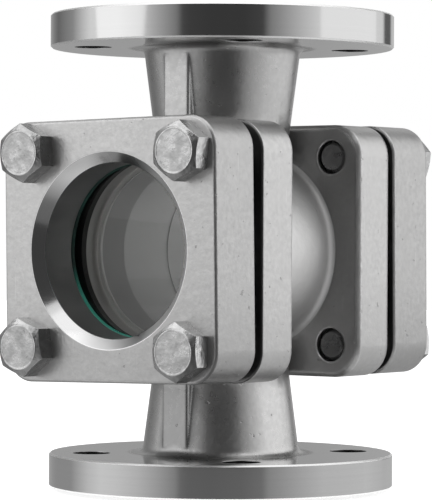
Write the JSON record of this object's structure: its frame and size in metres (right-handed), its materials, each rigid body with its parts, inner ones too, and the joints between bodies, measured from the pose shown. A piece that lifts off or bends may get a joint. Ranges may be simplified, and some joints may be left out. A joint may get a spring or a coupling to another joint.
{
  "type": "flow sight glass",
  "caption": "Flanged cast flow sight glass with a round bolted window on each side, through which the fluid in a pipe is watched.",
  "frame": {"origin": "centre of the drum, where the flow axis crosses the axis through both windows", "axes": "+Z along the flow axis, towards the upper pipe flange; -Y out of the front window"},
  "size_m": [0.165, 0.196, 0.23],
  "materials": {
    "cast_body": "bead-blasted cast stainless steel with machined faces",
    "cast_cover": "bead-blasted cast stainless steel with a turned window bore",
    "bolt_steel": "plain stainless steel, slightly rough",
    "glass": "clear polished toughened glass",
    "fibre_gasket": "matt green fibre sheet",
    "graphite_gasket": "matt black graphite sheet"
  },
  "bodies": {
    "root": {"body": "cast_body", "front_cover": "cast_cover", "front_glass": "glass", "front_outer_gasket": "fibre_gasket", "front_inner_gasket": "graphite_gasket", "front_bolt_upper_left": "bolt_steel", "front_bolt_upper_right": "bolt_steel", "front_bolt_lower_left": "bolt_steel", "front_bolt_lower_right": "bolt_steel", "rear_cover": "cast_cover", "rear_glass": "glass", "rear_outer_gasket": "fibre_gasket", "rear_inner_gasket": "graphite_gasket", "rear_bolt_upper_left": "bolt_steel", "rear_bolt_upper_right": "bolt_steel", "rear_bolt_lower_left": "bolt_steel", "rear_bolt_lower_right": "bolt_steel"}
  },
  "joints": []
}
